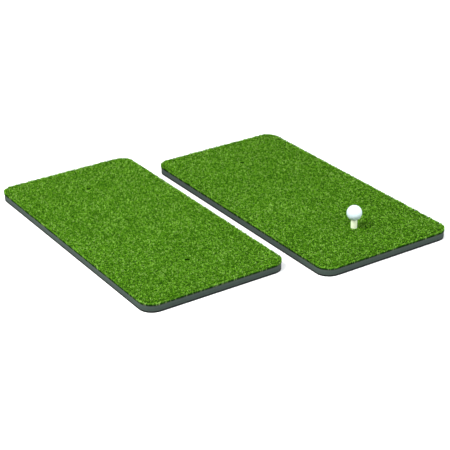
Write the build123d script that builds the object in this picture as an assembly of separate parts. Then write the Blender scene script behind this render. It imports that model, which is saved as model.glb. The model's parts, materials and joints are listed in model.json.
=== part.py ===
"""Pair of golf hitting mats, one of them with a rubber tee and a ball on it.

Two equal turf mats lie side by side, one a little further along than the other. Each is five layers
bonded together: a rubber sole, a foam core, a latex coat, a woven backing and the pile that is tufted
through the backing. A hole for a tee goes through every layer near each end of a mat.

Frame: X across the two mats, Y along their length, Z up. The origin is on the floor, midway between
the mats. Millimetres.
"""
import os

from build123d import *

# Mat outline
MAT_WIDTH = 430.0
MAT_LENGTH = 860.0
CORNER_RADIUS = 41.0
PILE_OVERHANG = 1.0         # the fibres stand this far out past the cut edge of the layers below

# Layers, from the floor up
SOLE_THICK = 5.0
FOAM_THICK = 13.0
LATEX_THICK = 1.0
BACKING_THICK = 1.0
PILE_THICK = 10.5

# How the two mats lie
MAT_GAP = 47.0
MAT_STAGGER = 101.0

# Tee holes, on each mat's long centreline
HOLE_OFFSET = 275.0         # from the middle of the mat
HOLE_RADIUS = 9.5
RECESS_RADIUS = 26.0        # cut out of the sole, for the flange of a tee

# Rubber tee
TEE_RADIUS = 8.8
TEE_BORE_RADIUS = 5.5
FLANGE_RADIUS = 25.0
FLANGE_THICK = 4.0
FLANGE_EDGE_ROUND = 1.0
BEND_ABOVE_PILE = 4.5       # height of the point that the stem bends about
BEND_SEAT_DROP = 6.4        # the base ends this far below the bending point
BEND_GAP = 0.3              # between the base's seat and the stem's round end

# Ball
BALL_RADIUS = 42.67 / 2
BALL_ABOVE_PILE = 43.0      # height of the ball's centre
COVER_THICK = 1.6
CORE_GAP = 0.02
SEAT_GAP = 0.25             # between the ball and the rim of the tee

# Heights worked out from the layers
pile_bottom = SOLE_THICK + FOAM_THICK + LATEX_THICK + BACKING_THICK
pile_top = pile_bottom + PILE_THICK
bend_z = pile_top + BEND_ABOVE_PILE
ball_z = pile_top + BALL_ABOVE_PILE

# Middle of each mat
mat_x = (MAT_WIDTH + MAT_GAP) / 2
mat_y = MAT_STAGGER / 2
mat_middles = {"left": (-mat_x, mat_y), "right": (mat_x, -mat_y)}

# The layers from the floor up: name, thickness, how far the edge is set in, radius of the tee holes
layers = [
    ("rubber_sole", SOLE_THICK, PILE_OVERHANG, RECESS_RADIUS),
    ("foam_core", FOAM_THICK, PILE_OVERHANG, HOLE_RADIUS),
    ("latex_coat", LATEX_THICK, PILE_OVERHANG, HOLE_RADIUS),
    ("woven_backing", BACKING_THICK, PILE_OVERHANG, HOLE_RADIUS),
    ("turf_pile", PILE_THICK, 0.0, HOLE_RADIUS),
]


def cut_layer(bottom, thickness, inset, hole_radius):
    """One die-cut layer, with its two tee holes, centred on the mat's own axes."""
    outline = RectangleRounded(MAT_WIDTH - 2 * inset, MAT_LENGTH - 2 * inset, CORNER_RADIUS - inset)
    holes = [Pos(0, y) * Circle(hole_radius) for y in (-HOLE_OFFSET, HOLE_OFFSET)]
    return extrude(Plane.XY.offset(bottom) * (outline - holes), thickness)


def mat_layers(side, middle):
    """The five bonded layers of one mat, by node name."""
    nodes = {}
    bottom = 0.0
    for name, thickness, inset, hole_radius in layers:
        nodes[f"{side}_{name}"] = Pos(*middle) * cut_layer(bottom, thickness, inset, hole_radius)
        bottom += thickness
    return nodes


def upright_cylinder(radius, bottom, top):
    """A cylinder about Z between two heights."""
    return Pos(0, 0, bottom) * Cylinder(radius, top - bottom, align=(Align.CENTER, Align.CENTER, Align.MIN))


def tee_base():
    """Flange and lower stem: the half of the tee that the mat holds, ending in a round seat."""
    top = bend_z - BEND_SEAT_DROP
    flange = upright_cylinder(FLANGE_RADIUS, 0, FLANGE_THICK)
    flange = fillet(flange.edges().filter_by(GeomType.CIRCLE).group_by(Axis.Z)[-1], FLANGE_EDGE_ROUND)
    seat = Pos(0, 0, bend_z) * Sphere(TEE_RADIUS + BEND_GAP)
    bore = upright_cylinder(TEE_BORE_RADIUS, 0, top)
    return flange + upright_cylinder(TEE_RADIUS, 0, top) - seat - bore


def tee_stem():
    """Upper stem: a tube that bends as the club passes, with a rim hollowed to hold the ball."""
    tube = upright_cylinder(TEE_RADIUS, bend_z, ball_z) + Pos(0, 0, bend_z) * Sphere(TEE_RADIUS)
    bore = upright_cylinder(TEE_BORE_RADIUS, bend_z - TEE_RADIUS, ball_z)
    rim = Pos(0, 0, ball_z) * Sphere(BALL_RADIUS + SEAT_GAP)
    trimmed = tube - bore - rim
    return trimmed.solids().sort_by(Axis.Z)[0]


def ball_cover():
    """The moulded outer shell of the ball."""
    return Pos(0, 0, ball_z) * (Sphere(BALL_RADIUS) - Sphere(BALL_RADIUS - COVER_THICK))


def ball_core():
    """The solid rubber core inside the cover."""
    return Pos(0, 0, ball_z) * Sphere(BALL_RADIUS - COVER_THICK - CORE_GAP)


def build():
    """Every node in its place."""
    nodes = {}
    for side, middle in mat_middles.items():
        nodes.update(mat_layers(side, middle))
    right_x, right_y = mat_middles["right"]
    tee_place = Pos(right_x, right_y - HOLE_OFFSET)
    for piece in (tee_base, tee_stem, ball_cover, ball_core):
        nodes[piece.__name__] = tee_place * piece()
    return nodes


os.makedirs("parts", exist_ok=True)
for node, solid in build().items():
    export_step(solid, f"parts/{node}.step")
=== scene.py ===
"""Two golf hitting mats, one with a rubber tee and a ball on it.

Lengths are in metres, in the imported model's frame: X across the two mats, Y along them, Z up.
Each operator models one kind of piece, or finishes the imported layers, and main() runs them in order.
"""
import json
from math import cos, pi, radians, sin, sqrt

import bpy
import numpy as np
from bpy.props import (
    EnumProperty,
    FloatProperty,
    FloatVectorProperty,
    IntProperty,
    PointerProperty,
)
from mathutils import Matrix, Vector, noise
from mathutils.kdtree import KDTree


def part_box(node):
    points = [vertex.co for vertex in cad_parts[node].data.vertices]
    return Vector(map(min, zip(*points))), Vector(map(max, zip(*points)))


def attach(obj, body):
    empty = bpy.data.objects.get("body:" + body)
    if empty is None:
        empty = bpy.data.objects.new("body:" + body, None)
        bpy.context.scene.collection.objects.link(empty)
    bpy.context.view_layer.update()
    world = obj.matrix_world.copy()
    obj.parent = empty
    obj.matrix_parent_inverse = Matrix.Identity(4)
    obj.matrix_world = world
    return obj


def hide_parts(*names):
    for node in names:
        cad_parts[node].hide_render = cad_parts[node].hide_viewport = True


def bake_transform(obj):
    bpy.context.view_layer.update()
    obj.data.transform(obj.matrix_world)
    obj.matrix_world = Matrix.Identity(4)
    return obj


bl_info = {
    "name": "Golf Hitting Mats",
    "version": (1, 0, 0),
    "blender": (4, 5, 0),
    "location": "3D View > Sidebar > Golf Mats",
    "description": "Tufted practice mats on foam, with a bending rubber tee and a dimpled ball",
    "category": "Add Mesh",
}

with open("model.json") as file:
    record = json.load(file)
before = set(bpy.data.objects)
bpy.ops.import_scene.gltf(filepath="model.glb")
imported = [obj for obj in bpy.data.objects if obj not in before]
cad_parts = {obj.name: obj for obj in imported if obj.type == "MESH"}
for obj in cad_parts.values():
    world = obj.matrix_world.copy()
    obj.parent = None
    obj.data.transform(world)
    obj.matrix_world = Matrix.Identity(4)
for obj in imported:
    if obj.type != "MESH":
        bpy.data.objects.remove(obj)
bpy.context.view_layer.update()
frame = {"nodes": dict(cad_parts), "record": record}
SIDES = ("left", "right")
LAYERS = ("rubber_sole", "foam_core", "latex_coat", "woven_backing")


def middle_of(node):
    """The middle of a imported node's box."""
    low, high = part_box(node)
    return (low + high) / 2


def mount_point(name):
    """Where the record puts a mount."""
    return next(Vector(mount["pos_m"]) for mount in frame["record"]["mounts"] if mount["name"] == name)


def tee_holes(side):
    """The middles of a mat's two tee holes, seen from above, in the mat's own axes."""
    far = mount_point(f"{side}_far_tee_hole") - middle_of(f"{side}_turf_pile")
    return [Vector((0, -far.y)), Vector((0, far.y))]


TEE_MIDDLE = middle_of("tee_stem")
PILE_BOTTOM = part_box("left_turf_pile")[0].z
PILE_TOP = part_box("left_turf_pile")[1].z


# ---------------------------------------------------------------- settings


class PileSettings(bpy.types.PropertyGroup):
    """Sizes and colours of the tufted pile."""

    spacing: FloatProperty(
        name="Tuft spacing", description="From one tuft to the next", default=0.0053, unit="LENGTH"
    )
    fibres: IntProperty(name="Fibres", description="Fibres in each tuft", default=4, min=1)
    width: FloatProperty(
        name="Fibre width", description="Across one crimped fibre", default=0.00140, unit="LENGTH"
    )
    packed_height: FloatProperty(
        name="Packed height",
        description="Height of the tangled lower part of the pile above its backing",
        default=0.0055,
        unit="LENGTH",
    )
    strips: IntProperty(name="Strips", description="Lengthwise strips that a pile is made in", default=5)
    seed: IntProperty(name="Seed", description="Start of the random draws", default=7)
    # Painted shade: the root colour is far darker than the tip, standing in for the shade deep in the pile.
    shaded_root_colour: FloatVectorProperty(
        name="Root colour", description="Yarn near the backing", default=(0.010, 0.055, 0.002),
        subtype="COLOR",
    )
    tip_colour: FloatVectorProperty(
        name="Tip colour", description="Yarn at the wearing surface", default=(0.158, 0.430, 0.017),
        subtype="COLOR",
    )


class LayerSettings(bpy.types.PropertyGroup):
    """Colours and grain of the bonded layers under the pile."""

    foam_colour: FloatVectorProperty(
        name="Foam colour", description="Cut edge of the foam", default=(0.027, 0.039, 0.033), subtype="COLOR"
    )
    sole_colour: FloatVectorProperty(
        name="Sole colour", description="Dense rubber sole", default=(0.007, 0.010, 0.009), subtype="COLOR"
    )
    # Latex and backing are near black: partly the real dark coat and backing, partly painted shade of the
    # groove under the rim's overhanging fibres.
    latex_colour: FloatVectorProperty(
        name="Latex colour", description="Coat that locks the tufts", default=(0.005, 0.009, 0.006),
        subtype="COLOR",
    )
    backing_colour: FloatVectorProperty(
        name="Backing colour", description="Woven backing", default=(0.005, 0.012, 0.004), subtype="COLOR"
    )
    cell: FloatProperty(
        name="Foam cell", description="Size of the cells cut open on the foam's edge", default=0.0012,
        unit="LENGTH",
    )


class TeeSettings(bpy.types.PropertyGroup):
    """Sizes and colour of the rubber tee."""

    bore: FloatProperty(name="Bore", description="Radius of the tee's bore", default=0.0055, unit="LENGTH")
    flange: FloatProperty(
        name="Flange", description="Thickness of the flange", default=0.004, unit="LENGTH"
    )
    rounding: FloatProperty(
        name="Rounding", description="Radius on the moulded edges", default=0.0005, unit="LENGTH"
    )
    colour: FloatVectorProperty(
        name="Colour", description="Moulded rubber", default=(0.71, 0.77, 0.56), subtype="COLOR"
    )


class BallSettings(bpy.types.PropertyGroup):
    """Sizes and colour of the ball."""

    dimple_rows: IntProperty(
        name="Dimple rows", description="Dimples along each edge of the icosahedral pattern", default=6
    )
    dimple: FloatProperty(name="Dimple", description="Radius of a dimple", default=0.00178, unit="LENGTH")
    depth: FloatProperty(name="Depth", description="Depth of a dimple", default=0.00028, unit="LENGTH")
    wall: FloatProperty(name="Wall", description="Thickness of the cover", default=0.0016, unit="LENGTH")
    colour: FloatVectorProperty(
        name="Colour", description="Lacquered cover", default=(0.52, 0.62, 0.66), subtype="COLOR"
    )
    core_colour: FloatVectorProperty(
        name="Core colour", description="Rubber core", default=(0.55, 0.30, 0.08), subtype="COLOR"
    )


class StageSettings(bpy.types.PropertyGroup):
    """Camera, lights and floor."""

    target: FloatVectorProperty(
        name="Target", description="Point on the floor that the camera looks at",
        default=(-0.0112, -0.0591, 0.0), unit="LENGTH",
    )
    distance: FloatProperty(
        name="Distance", description="From the camera to its target", default=3.811, unit="LENGTH"
    )
    turn: FloatProperty(
        name="Turn", description="Camera's turn about the vertical", default=radians(-32.873), unit="ROTATION"
    )
    height_angle: FloatProperty(
        name="Height angle", description="Camera's angle above the floor", default=radians(26.033),
        unit="ROTATION",
    )
    roll: FloatProperty(
        name="Roll", description="Camera's turn about its own axis", default=radians(-0.988), unit="ROTATION"
    )
    lens: FloatProperty(name="Lens", description="Focal length in millimetres", default=108.19)
    floor_colour: FloatVectorProperty(
        name="Floor colour", description="Plain pale floor", default=(0.93, 0.93, 0.93), subtype="COLOR"
    )
    key_power: FloatProperty(name="Key light", description="Power in watts", default=228.0)
    sky: FloatProperty(name="Sky", description="Strength of the light all round", default=1.0)


class MatSettings(bpy.types.PropertyGroup):
    """Everything that a user would change on the mats, the tee and the ball."""

    pile: PointerProperty(type=PileSettings)
    layers: PointerProperty(type=LayerSettings)
    tee: PointerProperty(type=TeeSettings)
    ball: PointerProperty(type=BallSettings)
    stage: PointerProperty(type=StageSettings)


def settings():
    """The scene's own copy of the settings."""
    return bpy.context.scene.golf_mats


# ---------------------------------------------------------------- shader maths


class Value:
    """What comes out of a shader socket. Arithmetic on it adds Math nodes."""

    def __init__(self, graph, socket):
        self.graph = graph
        self.socket = socket

    def maths(self, operation, *terms):
        return self.graph.node("ShaderNodeMath", {"operation": operation}, dict(enumerate(terms)))

    def __add__(self, other):
        return self.maths("ADD", self, other)

    def __mul__(self, other):
        return self.maths("MULTIPLY", self, other)

    def __pow__(self, other):
        return self.maths("POWER", self, other)


class Graph:
    """The node tree of one new material."""

    def __init__(self, name):
        self.material = bpy.data.materials.new(name)
        self.material.use_nodes = True
        self.tree = self.material.node_tree
        self.shader = self.tree.nodes["Principled BSDF"]

    def node(self, kind, options=None, inputs=None, output=0):
        """A new node: its options first, then the values or links of its sockets."""
        node = self.tree.nodes.new(kind)
        for name, value in (options or {}).items():
            setattr(node, name, value)
        for key, value in (inputs or {}).items():
            self.put(node.inputs[key], value)
        return Value(self, node.outputs[output])

    def put(self, socket, value):
        """A link or a plain value into a socket. A colour gets its fourth number."""
        if isinstance(value, Value):
            self.tree.links.new(value.socket, socket)
        elif socket.type == "RGBA":
            socket.default_value = (*value, 1.0)
        else:
            socket.default_value = value

    def attribute(self, name):
        return self.node("ShaderNodeAttribute", {"attribute_name": name}, output="Fac")

    def place(self):
        """Object coordinates, in metres."""
        return self.node("ShaderNodeTexCoord", output="Object")

    def stretched(self, scale):
        """Object coordinates, scaled along each axis."""
        return self.node("ShaderNodeMapping", inputs={"Vector": self.place(), "Scale": scale})

    def noise(self, size, detail=2.0, vector=None):
        """Noise from 0 to 1 whose features are about that size, in metres."""
        inputs = {"Vector": vector or self.place(), "Scale": 1 / size, "Detail": detail}
        return self.node("ShaderNodeTexNoise", inputs=inputs, output="Fac")

    def cells(self, size):
        """Distance from the middle of the nearest cell, in cells."""
        inputs = {"Vector": self.place(), "Scale": 1 / size}
        return self.node("ShaderNodeTexVoronoi", inputs=inputs, output="Distance")

    def spread(self, value, low, high, to_low=0.0, to_high=1.0):
        """Value moved from one range to another, and held inside it."""
        numbers = dict(enumerate((value, low, high, to_low, to_high)))
        return self.node("ShaderNodeMapRange", {"clamp": True}, numbers)

    def mix(self, share, first, second, how="MIX"):
        """Two colours, mixed."""
        options = {"data_type": "RGBA", "blend_type": how}
        return self.node("ShaderNodeMix", options, {0: share, 6: first, 7: second}, output=2)

    def bump(self, height, strength, distance):
        inputs = {"Height": height, "Strength": strength, "Distance": distance}
        return self.node("ShaderNodeBump", inputs=inputs)

    def finish(self, **inputs):
        """Puts values into the shader, with underscores for spaces in their names."""
        for name, value in inputs.items():
            self.put(self.shader.inputs[name.replace("_", " ")], value)
        return self.material


def scaled(colour, by):
    """A colour, lighter or darker."""
    return tuple(min(1.0, part * by) for part in colour)


def yarn_material():
    """Crimped nylon yarn: painted shade at the root, each fibre a little different, in faint broad patches.
    """
    pile, graph = settings().pile, Graph("crimped_yarn")
    along, shade = graph.attribute("along"), graph.attribute("shade")
    # Painted shade: the colour runs from the dark root colour up to the tip colour.
    colour = graph.mix(graph.spread(along, 0.3, 0.95), pile.shaded_root_colour, pile.tip_colour)
    patches = graph.spread(graph.noise(0.06), 0.3, 0.7, 0.92, 1.08)
    clumps = graph.spread(graph.noise(0.0045, 1.0), 0.3, 0.7, 0.66, 1.34)
    # Painted shade: the lower half of each fibre is darkened further, to 0.4 of its colour at the root.
    shaded = graph.spread(along, 0.0, 0.5, 0.4, 1.0)
    brightness = shaded * patches * clumps * graph.spread(shade, 0.0, 1.0, 0.42, 1.60)
    channels = {0: brightness**1.3, 1: brightness, 2: brightness**2.2}
    tint = graph.node("ShaderNodeCombineColor", inputs=channels)
    colour = graph.mix(1.0, colour, tint, "MULTIPLY")
    # Painted highlight: the brightest fibres are mixed towards a pale whitish green.
    painted_highlight = graph.spread(shade, 0.7, 1.0, 0.0, 0.3)
    colour = graph.mix(painted_highlight, colour, (0.42, 0.56, 0.20))
    return graph.finish(Base_Color=colour, Roughness=0.85, Specular_IOR_Level=0.04)


def packed_pile_material():
    """The tangled lower part of the pile, where fibres cross in the shade."""
    pile, graph = settings().pile, Graph("packed_pile")
    tangle = graph.noise(0.0022, 3.0)
    # Painted shade: both colours are the yarn's own, darkened to about a third, for the shade among the
    # crossing fibres.
    colour = graph.mix(
        graph.spread(tangle, 0.35, 0.65), scaled(pile.shaded_root_colour, 0.35), scaled(pile.tip_colour, 0.32)
    )
    bump = graph.bump(tangle, 1.0, 0.0012)
    return graph.finish(Base_Color=colour, Roughness=0.9, Specular_IOR_Level=0.04, Normal=bump)


def foam_material():
    """Closed-cell foam, with cells cut open on its edges and a few skiving marks."""
    layers, graph = settings().layers, Graph("closed_cell_foam")
    cells = graph.spread(graph.cells(layers.cell), 0.15, 0.6)
    marks = graph.noise(0.002, 2.0, graph.stretched((0.04, 0.04, 1.0)))
    patches = graph.noise(0.03, 3.0)
    colour = graph.mix(cells, scaled(layers.foam_colour, 0.72), scaled(layers.foam_colour, 1.12))
    colour = graph.mix(graph.spread(patches, 0.3, 0.7, 0.0, 0.35), colour, scaled(layers.foam_colour, 1.5))
    # The foam's edge is lighter towards its top, between 11 and 18 mm up.
    parts = graph.node("ShaderNodeSeparateXYZ", inputs={0: graph.place()}, output=2)
    colour = graph.mix(graph.spread(parts, 0.011, 0.018, 0.0, 0.35), colour, scaled(layers.foam_colour, 1.9))
    height = cells * 0.7 + marks * 0.3
    rough = graph.spread(patches, 0.3, 0.7, 0.78, 0.92)
    bump = graph.bump(height, 0.6, 0.0004)
    return graph.finish(Base_Color=colour, Roughness=rough, Normal=bump, Specular_IOR_Level=0.12)


def sole_material():
    """Dense rubber with fine pale crumb in it and a pebbled non-slip skin."""
    layers, graph = settings().layers, Graph("sole_rubber")
    crumb = graph.spread(graph.cells(0.0025), 0.0, 0.22, 1.0, 0.0)
    pebbles = graph.spread(graph.cells(0.0035), 0.1, 0.7, 1.0, 0.0)
    colour = graph.mix(crumb * 0.35, layers.sole_colour, scaled(layers.sole_colour, 2.2))
    rough = graph.spread(graph.noise(0.01), 0.3, 0.7, 0.62, 0.8)
    bump = graph.bump(pebbles, 0.5, 0.0005)
    return graph.finish(Base_Color=colour, Roughness=rough, Normal=bump, Specular_IOR_Level=0.12)


def latex_material():
    """Poured latex, dull and slightly rippled."""
    layers, graph = settings().layers, Graph("latex")
    ripples = graph.noise(0.004, 3.0)
    colour = graph.mix(ripples, scaled(layers.latex_colour, 0.7), scaled(layers.latex_colour, 1.5))
    return graph.finish(Base_Color=colour, Roughness=0.7, Normal=graph.bump(ripples, 0.5, 0.0004))


def backing_material():
    """Plain-woven flat tape, in two crossing sets of ribs."""
    layers, graph = settings().layers, Graph("woven_backing")
    ribs = []
    for direction in "XY":
        inputs = {"Vector": graph.place(), "Scale": 105.0, "Distortion": 0.6, "Detail": 1.0}
        wave = graph.node("ShaderNodeTexWave", {"bands_direction": direction}, inputs, output="Fac")
        ribs.append(wave)
    weave = ribs[0] * ribs[1]
    colour = graph.mix(weave, scaled(layers.backing_colour, 0.6), scaled(layers.backing_colour, 1.7))
    return graph.finish(Base_Color=colour, Roughness=0.7, Normal=graph.bump(weave, 0.6, 0.0004))


def tee_material():
    """Moulded cream rubber, satin, slightly mottled and scuffed on the way up."""
    tee, graph = settings().tee, Graph("tee_rubber")
    mottle = graph.noise(0.006, 3.0)
    scuffs = graph.spread(graph.noise(0.0012, 2.0, graph.stretched((1.0, 1.0, 0.3))), 0.56, 0.72)
    colour = graph.mix(mottle, scaled(tee.colour, 0.9), scaled(tee.colour, 1.06))
    colour = graph.mix(scuffs * 0.22, colour, scaled(tee.colour, 0.62))
    rough = graph.spread(mottle, 0.3, 0.7, 0.42, 0.56)
    bump = graph.bump(graph.noise(0.0008, 2.0), 0.25, 0.0002)
    return graph.finish(
        Base_Color=colour, Roughness=rough, Normal=bump, Subsurface_Weight=0.12,
        Subsurface_Radius=(0.004, 0.004, 0.002),
    )


def ball_material():
    """White cover under clear lacquer, with the faintest handling marks."""
    ball, graph = settings().ball, Graph("lacquered_cover")
    marks = graph.spread(graph.noise(0.007, 4.0), 0.55, 0.75)
    colour = graph.mix(marks * 0.25, ball.colour, scaled(ball.colour, 0.88))
    rough = graph.spread(graph.noise(0.004, 3.0), 0.3, 0.7, 0.22, 0.34)
    return graph.finish(Base_Color=colour, Roughness=rough, Coat_Weight=0.6, Coat_Roughness=0.12)


def core_material():
    """Dense moulded rubber."""
    ball, graph = settings().ball, Graph("core_rubber")
    grain = graph.noise(0.003, 3.0)
    colour = graph.mix(grain, scaled(ball.core_colour, 0.85), scaled(ball.core_colour, 1.1))
    return graph.finish(Base_Color=colour, Roughness=0.6, Normal=graph.bump(grain, 0.3, 0.0003))


def floor_material():
    """A plain pale floor with the slightest unevenness."""
    stage, graph = settings().stage, Graph("pale_floor")
    cloud = graph.noise(0.8, 2.0)
    colour = graph.mix(cloud, stage.floor_colour, scaled(stage.floor_colour, 0.985))
    return graph.finish(Base_Color=colour, Roughness=0.8, Specular_IOR_Level=0.2)


# ---------------------------------------------------------------- modelling helpers


def deselect_all():
    for thing in bpy.context.selected_objects:
        thing.select_set(False)


def edit(piece):
    """Starts edit mode on one piece, with all of it selected."""
    deselect_all()
    bpy.context.view_layer.objects.active = piece
    piece.select_set(True)
    bpy.ops.object.mode_set(mode="EDIT")
    bpy.ops.mesh.select_all(action="SELECT")


def leave_edit():
    bpy.ops.object.mode_set(mode="OBJECT")


def apply_modifier(piece, kind, **options):
    """Adds a modifier with those options and applies it."""
    modifier = piece.modifiers.new(kind.lower(), kind)
    for name, value in options.items():
        setattr(modifier, name, value)
    bpy.context.view_layer.objects.active = piece
    bpy.ops.object.modifier_apply(modifier=modifier.name)


def settle(piece, name, material, smooth_below=None):
    """Names a finished piece, puts its place into its mesh, and gives it its material."""
    deselect_all()
    piece.select_set(True)
    bpy.context.view_layer.objects.active = piece
    bpy.ops.object.transform_apply(location=True, rotation=True, scale=True)
    if smooth_below is None:
        bpy.ops.object.shade_smooth()
    else:
        bpy.ops.object.shade_smooth_by_angle(angle=smooth_below)
    piece.name = piece.data.name = name
    piece.data.materials.clear()
    piece.data.materials.append(material)
    return piece


def points_of(piece):
    """The piece's vertices as an array of rows."""
    points = np.empty(len(piece.data.vertices) * 3)
    piece.data.vertices.foreach_get("co", points)
    return points.reshape(-1, 3)


def put_points(piece, points):
    piece.data.vertices.foreach_set("co", points.ravel())
    piece.data.update()


def edge_distance(points, width, length, corner):
    """How far points are outside a rounded rectangle's outline, negative inside, and the way out."""
    reach = np.abs(points) - (np.array((width, length)) / 2 - corner)
    beyond = np.maximum(reach, 0)
    far = np.linalg.norm(beyond, axis=1)
    distance = np.where(far > 0, far, reach.max(axis=1)) - corner
    straight = np.where(reach[:, :1] > reach[:, 1:], (1.0, 0.0), (0.0, 1.0))
    way = np.where(far[:, None] > 0, beyond / np.maximum(far, 1e-9)[:, None], straight)
    return distance, way * np.sign(points)


# ---------------------------------------------------------------- pile

FIBRE_KINDS = 28
CORNER = 0.041
HOLE_RADIUS = 0.0095
RIM_INSET = 0.0009           # from the outline to the outermost row of tufts
RIM_BAND = 0.006             # fibres this close to the outline stand on the backing and lean out
RIM_DROP = 0.0008            # how much lower the rim's fibres end
OUTSIDE = 0.0002             # how far fibres may pass the outline
ABOVE = 0.0004               # how far fibres may pass the pile's height
ROOT_SINK = 0.0016           # depth of the fibres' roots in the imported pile
ROOT_SCATTER = 0.00075       # scatter of the fibres of one tuft
HOLE_TUFTS = 30              # tufts in the ring round each tee hole
RING_OUTSET = 0.0008         # from a hole's edge to that ring
RING_BAND = 0.003            # fibres this close to a hole's edge lean over it
RING_CLEAR = 0.0025          # other tufts stay this far from a hole's edge
EMPTY_HOLE = 0.0072          # radius that fibres leave open over an empty hole
FILLED_HOLE = 0.0093         # the same round the tee
PACKED_CELL = 0.005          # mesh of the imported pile
PACKED_INSET = 0.0022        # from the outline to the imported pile
PACKED_LIP = 0.0012          # from a hole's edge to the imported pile
LUMP_HEIGHT = 0.0011
LUMPS_PER_METRE = 330


def model_fibre(steps, radius):
    """One closed three-sided fibre, extruded step by step from its root and drawn to a point."""
    bpy.ops.mesh.primitive_circle_add(vertices=3, radius=radius, fill_type="NGON")
    fibre = bpy.context.object
    bpy.ops.object.mode_set(mode="EDIT")
    bpy.ops.mesh.select_all(action="SELECT")
    place = Vector((0, 0, 0))
    for number, (length, lean, turn) in enumerate(steps):
        way = Vector((sin(lean) * cos(turn), sin(lean) * sin(turn), cos(lean)))
        move = way * length
        bpy.ops.mesh.extrude_region_move(TRANSFORM_OT_translate={"value": move})
        place = place + move
        if number == len(steps) - 1:
            bpy.ops.mesh.merge(type="CENTER")
        else:
            taper = (1.0, 0.86)[number > 0]
            bpy.ops.transform.resize(value=(taper,) * 3, center_override=place)
    leave_edit()
    shape = points_of(fibre)
    faces = [tuple(face.vertices) for face in fibre.data.polygons]
    bpy.data.objects.remove(fibre)
    return shape, faces


def fibre_kinds(pile, tall):
    """Curled shapes for the fibres, all with the same faces, and how far along each point lies."""
    rng = np.random.default_rng(pile.seed)
    lengths = np.array((0.46, 0.28, 0.26)) * tall
    straight, faces = model_fibre([(length, 0.0, 0.0) for length in lengths], pile.width / 2)
    along = straight[:, 2] / straight[:, 2].max()
    shapes = []
    for _ in range(FIBRE_KINDS):
        lean, curl, twist = rng.uniform(0.05, 0.45), rng.uniform(0.5, 1.15), rng.uniform(-0.9, 0.9)
        steps = [
            (length * rng.uniform(0.9, 1.1), lean + curl * number * 0.75, twist * number)
            for number, length in enumerate(lengths)
        ]
        shapes.append(model_fibre(steps, pile.width / 2)[0])
    return np.array(shapes), faces, along


def tuft_roots(side, pile, rng):
    """Where tufts stand on a mat, in its own axes: rows with a little jitter, clear of edge and holes."""
    low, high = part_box(f"{side}_turf_pile")
    width, length = high.x - low.x, high.y - low.y
    across = np.arange(-width / 2, width / 2, pile.spacing)
    down = np.arange(-length / 2, length / 2, pile.spacing)
    grid = np.array(np.meshgrid(across, down)).reshape(2, -1).T
    grid = grid + rng.uniform(-0.32, 0.32, grid.shape) * pile.spacing
    distance, _ = edge_distance(grid, width, length, CORNER)
    rim = rim_roots(width, length, pile.spacing / 2)
    roots = np.concatenate((grid[distance < -pile.spacing * 0.45], rim))
    turn = np.linspace(0, 2 * pi, HOLE_TUFTS, endpoint=False)
    ring = np.column_stack((np.cos(turn), np.sin(turn))) * (HOLE_RADIUS + RING_OUTSET)
    for hole in tee_holes(side):
        clear = np.linalg.norm(roots - np.array(hole), axis=1) > HOLE_RADIUS + RING_CLEAR
        roots = np.concatenate((roots[clear], ring + np.array(hole)))
    return roots, width, length


def rim_roots(width, length, spacing):
    """The outermost row of tufts, close together just inside a mat's outline."""
    count = round(2 * (width + length) / spacing)
    turn = np.linspace(0, 2 * pi, count * 4, endpoint=False)
    reach = np.column_stack((np.cos(turn), np.sin(turn))) * length
    for _ in range(24):
        distance, way = edge_distance(reach, width, length, CORNER)
        reach = reach - way * (distance + RIM_INSET)[:, None]
    steps = np.linalg.norm(np.diff(reach, axis=0, append=reach[:1]), axis=1)
    walked = np.cumsum(steps)
    return reach[np.searchsorted(walked, np.arange(0, walked[-1], spacing))]


def join_fibres(name, shapes, faces, columns, material):
    """One mesh of many fibres. columns holds what each point of each fibre carries."""
    count, points = shapes.shape[:2]
    mesh = bpy.data.meshes.new(name)
    corners = np.array([corner for face in faces for corner in face])
    sizes = np.array([len(face) for face in faces])
    starts = np.concatenate(([0], np.cumsum(sizes)[:-1]))
    mesh.vertices.add(count * points)
    mesh.vertices.foreach_set("co", shapes.astype(np.float32).ravel())
    mesh.loops.add(count * len(corners))
    offsets = np.arange(count)[:, None]
    mesh.loops.foreach_set("vertex_index", (corners + offsets * points).astype(np.int32).ravel())
    mesh.polygons.add(count * len(faces))
    mesh.polygons.foreach_set("loop_start", (starts + offsets * len(corners)).astype(np.int32).ravel())
    mesh.update(calc_edges=True)
    for column, values in columns.items():
        layer = mesh.attributes.new(column, "FLOAT", "POINT")
        layer.data.foreach_set("value", values.astype(np.float32).ravel())
    mesh.polygons.foreach_set("use_smooth", np.ones(count * len(faces), bool))
    mesh.materials.append(material)
    piece = bpy.data.objects.new(name, mesh)
    bpy.context.scene.collection.objects.link(piece)
    return piece


def keep_clear(points, middle, least):
    """Pushes points out of a circle about the middle."""
    offset = points[..., :2] - middle
    gap = np.linalg.norm(offset, axis=-1, keepdims=True)
    near = gap < least
    points[..., :2] = np.where(near, middle + offset * least / np.maximum(gap, 1e-6), points[..., :2])


def fibre_turns(side, base, rim, outward, rng):
    """Which way each fibre leans: any way, but outwards at the rim and inwards round a hole."""
    count = len(base)
    turn = rng.uniform(0, 2 * pi, count)
    facing = np.arctan2(outward[:, 1], outward[:, 0]) + rng.normal(0, 1.1, count)
    turn = np.where(rim, facing, turn)
    for hole in tee_holes(side):
        inward = np.array(hole) - base
        around = np.linalg.norm(inward, axis=1) < HOLE_RADIUS + RING_BAND
        facing = np.arctan2(inward[:, 1], inward[:, 0]) + rng.normal(0, 1.2, count)
        turn = np.where(around, facing, turn)
    return turn


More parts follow.
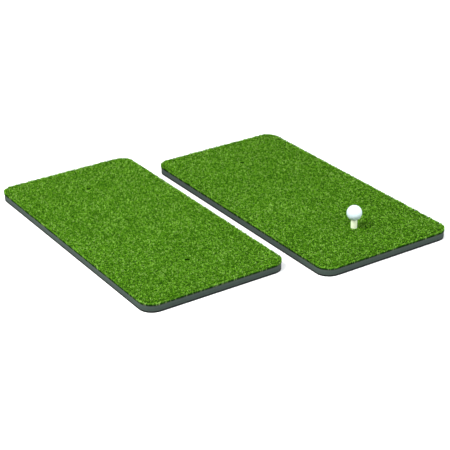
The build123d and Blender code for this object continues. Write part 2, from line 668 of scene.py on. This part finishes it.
def trim_fibres(planted, side, width, length, middle):
    """Keeps fibres inside the outline, under the pile's top and out of the holes."""
    planted[..., 2] = np.minimum(planted[..., 2], PILE_TOP + ABOVE)
    flat = planted.reshape(-1, 3)
    over, way = edge_distance(flat[:, :2], width, length, CORNER)
    flat[:, :2] -= way * np.maximum(over - OUTSIDE, 0)[:, None]
    tee = np.array((TEE_MIDDLE - middle)[:2])
    for hole in tee_holes(side):
        spot = np.array(hole)
        own_tee = side == "right" and np.linalg.norm(spot - tee) < HOLE_RADIUS
        keep_clear(planted, spot, FILLED_HOLE if own_tee else EMPTY_HOLE)


def plant_fibres(side, pile, rng):
    """Every fibre of a mat's pile as an array of points, with what each point carries."""
    roots, width, length = tuft_roots(side, pile, rng)
    middle = middle_of(f"{side}_turf_pile")
    visible = PILE_TOP - PILE_BOTTOM - pile.packed_height + ROOT_SINK
    kinds, faces, along = fibre_kinds(pile, visible * 1.32)
    count = len(roots) * pile.fibres
    base = np.repeat(roots, pile.fibres, axis=0) + rng.normal(0, ROOT_SCATTER, (count, 2))
    distance, outward = edge_distance(base, width, length, CORNER)
    rim = distance > -RIM_BAND
    turn = fibre_turns(side, base, rim, outward, rng)
    shapes = kinds[rng.integers(0, len(kinds), count)].copy()
    swell = np.repeat(rng.uniform(0.74, 1.06, len(roots)), pile.fibres) * rng.uniform(0.92, 1.08, count)
    shapes[..., 2] *= swell[:, None]
    rooted = np.where(rim, PILE_BOTTOM, PILE_BOTTOM + pile.packed_height - ROOT_SINK)
    stretch = np.where(rim, (PILE_TOP - PILE_BOTTOM - RIM_DROP) / visible, 1.0)
    shapes[..., 2] *= stretch[:, None]
    c, s = np.cos(turn)[:, None], np.sin(turn)[:, None]
    planted = np.empty_like(shapes)
    planted[..., 0] = shapes[..., 0] * c - shapes[..., 1] * s + base[:, :1]
    planted[..., 1] = shapes[..., 0] * s + shapes[..., 1] * c + base[:, 1:]
    planted[..., 2] = shapes[..., 2] + rooted[:, None]
    trim_fibres(planted, side, width, length, middle)
    planted[..., :2] += np.array(middle[:2])
    shade = np.repeat(rng.uniform(0, 1, len(roots)), pile.fibres) * 0.85 + rng.uniform(0, 0.15, count)
    columns = {
        "along": np.broadcast_to(along, shapes.shape[:2]),
        "shade": np.broadcast_to(shade[:, None], shapes.shape[:2]),
    }
    return planted, faces, columns, base[:, 0] / width + 0.5


def model_packed_pile(side, pile):
    """The tangled lower part of a pile: a lumpy slab with rounded corners and its two holes."""
    low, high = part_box(f"{side}_turf_pile")
    width, length, middle = high.x - low.x, high.y - low.y, (low + high) / 2
    bpy.ops.mesh.primitive_grid_add(
        x_subdivisions=round(width / PACKED_CELL), y_subdivisions=round(length / PACKED_CELL), size=1.0
    )
    piece = bpy.context.object
    points = points_of(piece)[:, :2] * (width, length)
    distance, way = edge_distance(points, width, length, CORNER)
    inside = points - way * np.clip(distance + PACKED_INSET, 0, None)[:, None]
    holes = [np.array(hole) for hole in tee_holes(side)]
    lip = HOLE_RADIUS + PACKED_LIP
    for hole in holes:
        offset = inside - hole
        gap = np.linalg.norm(offset, axis=1, keepdims=True)
        inside = np.where(gap < lip, hole + offset * lip / np.maximum(gap, 1e-6), inside)
    lumps = [noise.noise(Vector((x, y, 0)) * LUMPS_PER_METRE) for x, y in inside]
    rise = np.array(lumps) * LUMP_HEIGHT
    put_points(piece, np.column_stack((inside, rise)))
    edit(piece)
    bpy.ops.mesh.select_all(action="DESELECT")
    leave_edit()
    for face in piece.data.polygons:
        around = np.array([inside[v] for v in face.vertices]).mean(axis=0)
        over_hole = min(np.linalg.norm(around - hole) for hole in holes) < lip * 0.98
        face.select = bool(over_hole or face.area < 1e-9)
    bpy.ops.object.mode_set(mode="EDIT")
    bpy.ops.mesh.delete(type="FACE")
    bpy.ops.mesh.select_all(action="SELECT")
    bpy.ops.mesh.remove_doubles(threshold=0.0002)
    bpy.ops.mesh.select_all(action="SELECT")
    bpy.ops.mesh.region_to_loop()
    bpy.ops.mesh.extrude_edges_move(TRANSFORM_OT_translate={"value": (0, 0, -pile.packed_height / 2)})
    bpy.ops.mesh.extrude_edges_move(TRANSFORM_OT_translate={"value": (0, 0, -pile.packed_height / 2)})
    bpy.ops.mesh.fill()
    bpy.ops.mesh.select_all(action="SELECT")
    bpy.ops.mesh.normals_make_consistent(inside=False)
    leave_edit()
    piece.location = (middle.x, middle.y, PILE_BOTTOM + pile.packed_height)
    return settle(piece, f"{side}_packed_pile", packed_pile_material())


class GOLFMATS_OT_pile(bpy.types.Operator):
    """Tuft the pile of one mat"""

    bl_idname = "golf_mats.pile"
    bl_label = "Tuft the Pile"
    side: EnumProperty(
        name="Side", description="Which mat", default="left",
        items=[(side, side.title(), f"The {side} mat") for side in SIDES],
    )

    def execute(self, context):
        pile = settings().pile
        rng = np.random.default_rng(pile.seed + SIDES.index(self.side))
        node, body = f"{self.side}_turf_pile", f"{self.side}_mat"
        pieces = [model_packed_pile(self.side, pile)]
        fibres, faces, columns, share = plant_fibres(self.side, pile, rng)
        material = bpy.data.materials.get("crimped_yarn") or yarn_material()
        for strip in range(pile.strips):
            mine = np.clip((share * pile.strips).astype(int), 0, pile.strips - 1) == strip
            own = {name: values[mine] for name, values in columns.items()}
            name = f"{self.side}_tufts_{strip + 1}"
            pieces.append(join_fibres(name, fibres[mine], faces, own, material))
        for piece in pieces:
            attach(piece, body)
            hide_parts(node)
        return {"FINISHED"}


# ---------------------------------------------------------------- layers


class GOLFMATS_OT_layers(bpy.types.Operator):
    """Give the bonded layers under the pile their finishes"""

    bl_idname = "golf_mats.layers"
    bl_label = "Finish the Layers"

    def execute(self, context):
        finishes = dict(zip(LAYERS, (sole_material(), foam_material(), latex_material(), backing_material())))
        for side in SIDES:
            for layer, material in finishes.items():
                for slot in frame["nodes"][f"{side}_{layer}"].material_slots:
                    slot.material = material
        return {"FINISHED"}


# ---------------------------------------------------------------- tee


SEAT_GAP = 0.00025            # between the ball and the tee's rim
RIM_RADII = (0.0077, 0.0066)  # rings on the hollow that the ball sits in


def tee_profile(tee):
    """Half of the tee's section, as distance from its axis and height, all the way round."""
    low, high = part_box("tee_base")
    stem_low, stem_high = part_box("tee_stem")
    flange_radius, stem_radius = (high.x - low.x) / 2, (stem_high.x - stem_low.x) / 2
    ball_low, ball_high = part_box("ball_cover")
    ball_z, seat = (ball_low.z + ball_high.z) / 2, (ball_high.z - ball_low.z) / 2 + SEAT_GAP
    outer = [(tee.bore, 0.0), (flange_radius, 0.0), (flange_radius, tee.flange), (stem_radius, tee.flange)]
    rings = np.linspace(tee.flange, stem_high.z, 44)[1:]
    outer += [(stem_radius, height) for height in rings]
    rim = [(radius, ball_z - sqrt(seat**2 - radius**2)) for radius in (*RIM_RADII, tee.bore)]
    inner = [(tee.bore, height) for height in rings[-4::-1]]
    return outer + rim + inner + outer[:1]


class GOLFMATS_OT_tee(bpy.types.Operator):
    """Turn the rubber tee as one hollow moulding"""

    bl_idname = "golf_mats.tee"
    bl_label = "Mould the Tee"

    def execute(self, context):
        tee = settings().tee
        profile = tee_profile(tee)
        bpy.ops.mesh.primitive_plane_add(size=0.001)
        piece = bpy.context.object
        bpy.ops.object.mode_set(mode="EDIT")
        bpy.ops.mesh.select_all(action="SELECT")
        bpy.ops.mesh.merge(type="CENTER")
        first = Vector((profile[0][0], 0, profile[0][1]))
        bpy.ops.transform.translate(value=first)
        last = first
        for radius, height in profile[1:]:
            point = Vector((radius, 0, height))
            bpy.ops.mesh.extrude_vertices_move(TRANSFORM_OT_translate={"value": point - last})
            last = point
        bpy.ops.mesh.select_all(action="SELECT")
        bpy.ops.mesh.spin(steps=56, angle=2 * pi, center=(0, 0, 0), axis=(0, 0, 1))
        bpy.ops.mesh.select_all(action="SELECT")
        bpy.ops.mesh.remove_doubles(threshold=0.00001)
        bpy.ops.mesh.normals_make_consistent(inside=False)
        leave_edit()
        apply_modifier(piece, "BEVEL", width=tee.rounding, segments=3, limit_method="ANGLE",
                       angle_limit=radians(35))
        piece.location = (TEE_MIDDLE.x, TEE_MIDDLE.y, 0)
        settle(piece, "rubber_tee", tee_material(), radians(40))
        bend = next(joint for joint in frame["record"]["behaviour"]["joints"] if joint["name"] == "tee_bend")
        pivot = Vector(bend["pos_m"])
        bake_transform(piece)
        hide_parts("tee_base", "tee_stem")
        return {"FINISHED"}


# ---------------------------------------------------------------- ball


def dimple_middles(rows):
    """Directions of the dimples: an icosahedron whose edges are cut into equal rows."""
    bpy.ops.mesh.primitive_ico_sphere_add(subdivisions=1, radius=1.0)
    pattern = bpy.context.object
    edit(pattern)
    bpy.ops.mesh.subdivide(number_cuts=rows - 1)
    leave_edit()
    points = points_of(pattern)
    bpy.data.objects.remove(pattern)
    return points / np.linalg.norm(points, axis=1, keepdims=True)


class GOLFMATS_OT_ball(bpy.types.Operator):
    """Mould the ball's dimpled cover over its core"""

    bl_idname = "golf_mats.ball"
    bl_label = "Mould the Ball"

    def execute(self, context):
        ball = settings().ball
        low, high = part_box("ball_cover")
        middle, radius = (low + high) / 2, (high.z - low.z) / 2
        middles = dimple_middles(ball.dimple_rows)
        nearest = KDTree(len(middles))
        for index, point in enumerate(middles):
            nearest.insert(point, index)
        nearest.balance()
        bpy.ops.mesh.primitive_ico_sphere_add(subdivisions=7, radius=radius)
        cover = bpy.context.object
        points = points_of(cover)
        ways = points / np.linalg.norm(points, axis=1, keepdims=True)
        away = np.array([nearest.find(way)[2] for way in ways]) * radius / ball.dimple
        bowl = np.clip(1 - away**2, 0, None)
        put_points(cover, ways * (radius - ball.depth * bowl**0.8)[:, None])
        bpy.ops.mesh.primitive_ico_sphere_add(subdivisions=5, radius=radius - ball.wall)
        wall = bpy.context.object
        edit(wall)
        bpy.ops.mesh.flip_normals()
        leave_edit()
        deselect_all()
        wall.select_set(True)
        cover.select_set(True)
        bpy.context.view_layer.objects.active = cover
        bpy.ops.object.join()
        cover.location = middle
        settle(cover, "ball_dimpled_cover", ball_material())
        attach(cover, "ball")
        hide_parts("ball_cover")
        for slot in frame["nodes"]["ball_core"].material_slots:
            slot.material = core_material()
        return {"FINISHED"}


# ---------------------------------------------------------------- stage


FLOOR_DROP = 0.0002          # keeps the floor and the soles from sharing a plane


def back_of(turn, height_angle):
    """The direction from the target back to the camera."""
    return Vector((sin(turn) * cos(height_angle), -cos(turn) * cos(height_angle), sin(height_angle)))


def add_area_light(name, place, size, power, colour):
    """A soft square light that faces the middle of the mats."""
    bpy.ops.object.light_add(type="AREA", location=place)
    light = bpy.context.object
    light.name = light.data.name = name
    light.data.size = size
    light.data.energy = power
    light.data.color = colour
    light.rotation_euler = (-Vector(place)).to_track_quat("-Z", "Y").to_euler()


class GOLFMATS_OT_stage(bpy.types.Operator):
    """Set out the floor, the lights and the camera"""

    bl_idname = "golf_mats.stage"
    bl_label = "Set the Stage"

    def execute(self, context):
        stage, scene = settings().stage, context.scene
        bpy.ops.mesh.primitive_circle_add(vertices=96, radius=18.0, fill_type="NGON")
        bpy.context.object.location.z = -FLOOR_DROP
        floor = settle(bpy.context.object, "floor", floor_material())
        add_area_light("key_light", (-2.3, -0.2, 3.1), 1.3, stage.key_power, (1.0, 0.985, 0.96))
        add_area_light("fill_light", (2.4, -2.6, 2.6), 3.2, stage.key_power * 0.5, (0.96, 0.98, 1.0))
        world = bpy.data.worlds.new("studio")
        world.use_nodes = True
        sky = world.node_tree.nodes["Background"]
        sky.inputs["Color"].default_value = (0.97, 0.985, 1.0, 1.0)
        sky.inputs["Strength"].default_value = stage.sky
        scene.world = world
        scene.view_settings.view_transform = "Standard"
        back = back_of(stage.turn, stage.height_angle)
        bpy.ops.object.camera_add(location=Vector(stage.target) + back * stage.distance)
        camera = bpy.context.object
        aim = (-back).to_track_quat("-Z", "Y").to_matrix() @ Matrix.Rotation(stage.roll, 3, "Z")
        camera.rotation_euler = aim.to_euler()
        camera.data.lens = stage.lens
        camera.data.sensor_width = 36.0
        scene.camera = camera
        return {"FINISHED"}


# ---------------------------------------------------------------- add-on


class GOLFMATS_PT_panel(bpy.types.Panel):
    """Lists what the add-on makes"""

    bl_idname = "GOLFMATS_PT_panel"
    bl_label = "Golf Mats"
    bl_space_type = "VIEW_3D"
    bl_region_type = "UI"
    bl_category = "Golf Mats"

    def draw(self, context):
        column = self.layout.column()
        for side in SIDES:
            column.operator("golf_mats.pile", text=f"Tuft the {side.title()} Pile").side = side
        for name in ("layers", "tee", "ball", "stage"):
            column.operator(f"golf_mats.{name}")


CLASSES = (
    PileSettings,
    LayerSettings,
    TeeSettings,
    BallSettings,
    StageSettings,
    MatSettings,
    GOLFMATS_OT_pile,
    GOLFMATS_OT_layers,
    GOLFMATS_OT_tee,
    GOLFMATS_OT_ball,
    GOLFMATS_OT_stage,
    GOLFMATS_PT_panel,
)


def register():
    for each in CLASSES:
        bpy.utils.register_class(each)
    bpy.types.Scene.golf_mats = PointerProperty(type=MatSettings)


def unregister():
    del bpy.types.Scene.golf_mats
    for each in reversed(CLASSES):
        bpy.utils.unregister_class(each)


def main():
    """Makes every piece."""
    register()
    bpy.ops.golf_mats.stage()
    bpy.ops.golf_mats.layers()
    for side in SIDES:
        bpy.ops.golf_mats.pile(side=side)
    bpy.ops.golf_mats.tee()
    bpy.ops.golf_mats.ball()


if __name__ == "__main__":
    main()
